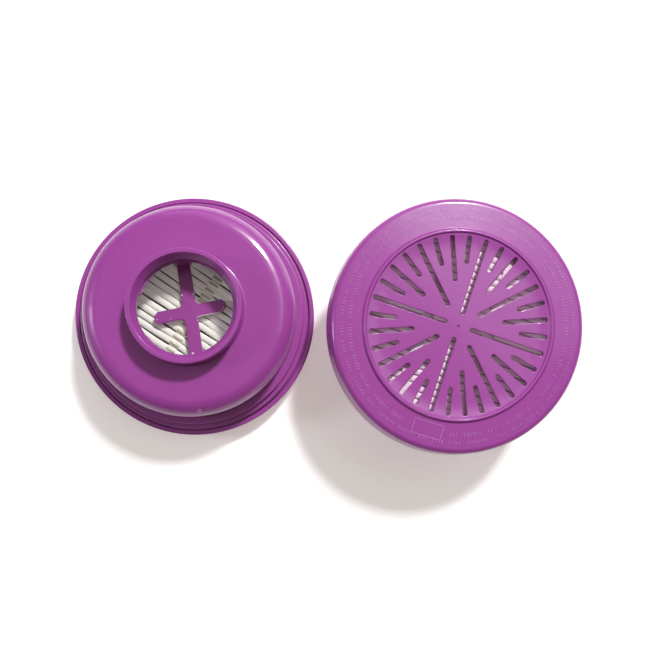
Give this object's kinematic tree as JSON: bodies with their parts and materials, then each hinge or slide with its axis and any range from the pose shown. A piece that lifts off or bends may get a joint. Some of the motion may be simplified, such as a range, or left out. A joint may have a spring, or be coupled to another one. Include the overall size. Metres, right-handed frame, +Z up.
{
  "type": "respirator filter cartridge pair",
  "caption": "Round screw-on respirator filter cartridges with a threaded outlet collar, a slotted inlet cover and pleated filter paper, lying side by side.",
  "frame": {"origin": "on the surface that both cartridges lie on, midway between them", "axes": "+X from the collar-up cartridge to the slots-up one, +Z up along both cartridges' axes"},
  "size_m": [0.1792, 0.0938, 0.036],
  "materials": {
    "magenta_plastic": "satin moulded magenta plastic",
    "filter_paper": "white pleated filter paper",
    "potting_resin": "cast resin",
    "hot_melt": "olive hot-melt glue"
  },
  "bodies": {
    "left_cartridge": {"left_inlet_cover": "magenta_plastic", "left_outlet_housing": "magenta_plastic", "left_cross_guard": "magenta_plastic", "left_pleated_media": "filter_paper", "left_potting_ring": "potting_resin", "left_outlet_glue_strand_a": "hot_melt", "left_outlet_glue_strand_b": "hot_melt", "left_outlet_glue_strand_c": "hot_melt", "left_inlet_glue_strand_a": "hot_melt", "left_inlet_glue_strand_b": "hot_melt"},
    "right_cartridge": {"right_inlet_cover": "magenta_plastic", "right_outlet_housing": "magenta_plastic", "right_cross_guard": "magenta_plastic", "right_pleated_media": "filter_paper", "right_potting_ring": "potting_resin", "right_outlet_glue_strand_a": "hot_melt", "right_outlet_glue_strand_b": "hot_melt", "right_outlet_glue_strand_c": "hot_melt", "right_inlet_glue_strand_a": "hot_melt", "right_inlet_glue_strand_b": "hot_melt"}
  },
  "joints": [
    {"name": "right_lift", "type": "slide", "parent": "left_cartridge", "child": "right_cartridge", "axis": [0, 0, 1], "range_m": [0, 0.06]}
  ]
}
